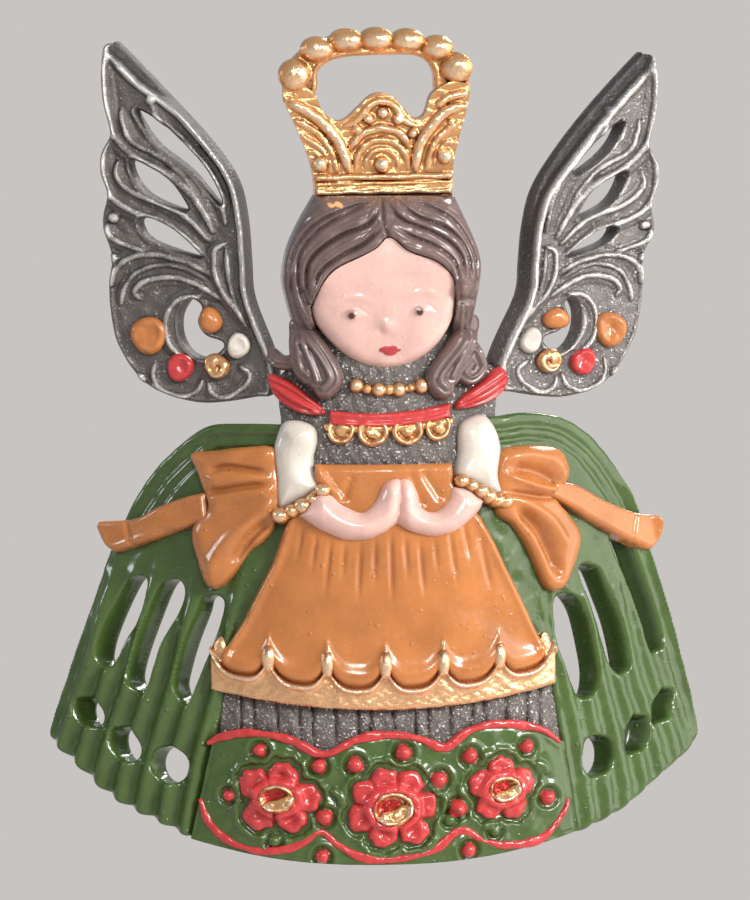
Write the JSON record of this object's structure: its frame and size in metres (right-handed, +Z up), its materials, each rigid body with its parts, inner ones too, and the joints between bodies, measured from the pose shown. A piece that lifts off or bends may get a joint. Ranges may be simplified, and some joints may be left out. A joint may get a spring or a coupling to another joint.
{
  "type": "hanging angel ornament",
  "caption": "Flat-backed cast pewter angel with a crown that ends in a hanging loop, openwork wings, a pleated slotted skirt and enamelled relief.",
  "frame": {"origin": "inner top of the hanging loop, on the middle of its depth, where a cord or hook bears", "axes": "+Z up as it hangs, the figure faces -Y, +X to the viewer's right"},
  "size_m": [0.0796, 0.022, 0.0998],
  "materials": {
    "gilt": "gilded, burnished on the high spots",
    "brown_enamel": "glossy hand-painted enamel",
    "skin_enamel": "glossy hand-painted enamel",
    "pewter": "cast pewter, darkened in the recesses and bright on the ridges",
    "red_enamel": "glossy hand-painted enamel",
    "white_enamel": "glossy hand-painted enamel",
    "orange_enamel": "glossy hand-painted enamel",
    "green_enamel": "glossy hand-painted enamel"
  },
  "bodies": {
    "root": {"hanging_loop": "gilt", "crown": "gilt", "necklace": "gilt", "neckline_trim": "gilt", "cuff_left": "gilt", "cuff_right": "gilt", "apron_hem": "gilt", "rose_heart_left": "gilt", "rose_heart_middle": "gilt", "rose_heart_right": "gilt", "gem_gold_left": "gilt", "gem_gold_right": "gilt", "hair": "brown_enamel", "hair_curl_left": "brown_enamel", "hair_curl_right": "brown_enamel", "face": "skin_enamel", "hands": "skin_enamel", "bodice": "pewter", "underskirt": "pewter", "wing_left": "pewter", "wing_right": "pewter", "neckline_band": "red_enamel", "shoulder_strap_left": "red_enamel", "shoulder_strap_right": "red_enamel", "piping_upper": "red_enamel", "piping_lower": "red_enamel", "rose_left": "red_enamel", "rose_middle": "red_enamel", "rose_right": "red_enamel", "gem_red_left": "red_enamel", "gem_red_right": "red_enamel", "sleeve_left": "white_enamel", "sleeve_right": "white_enamel", "gem_white_left": "white_enamel", "gem_white_right": "white_enamel", "apron": "orange_enamel", "bow_left": "orange_enamel", "bow_right": "orange_enamel", "ribbon_tail_left": "orange_enamel", "ribbon_tail_right": "orange_enamel", "gem_orange_inner_left": "orange_enamel", "gem_orange_inner_right": "orange_enamel", "gem_orange_outer_left": "orange_enamel", "gem_orange_outer_right": "orange_enamel", "skirt_left": "green_enamel", "skirt_right": "green_enamel", "hem_border": "green_enamel"}
  },
  "joints": []
}
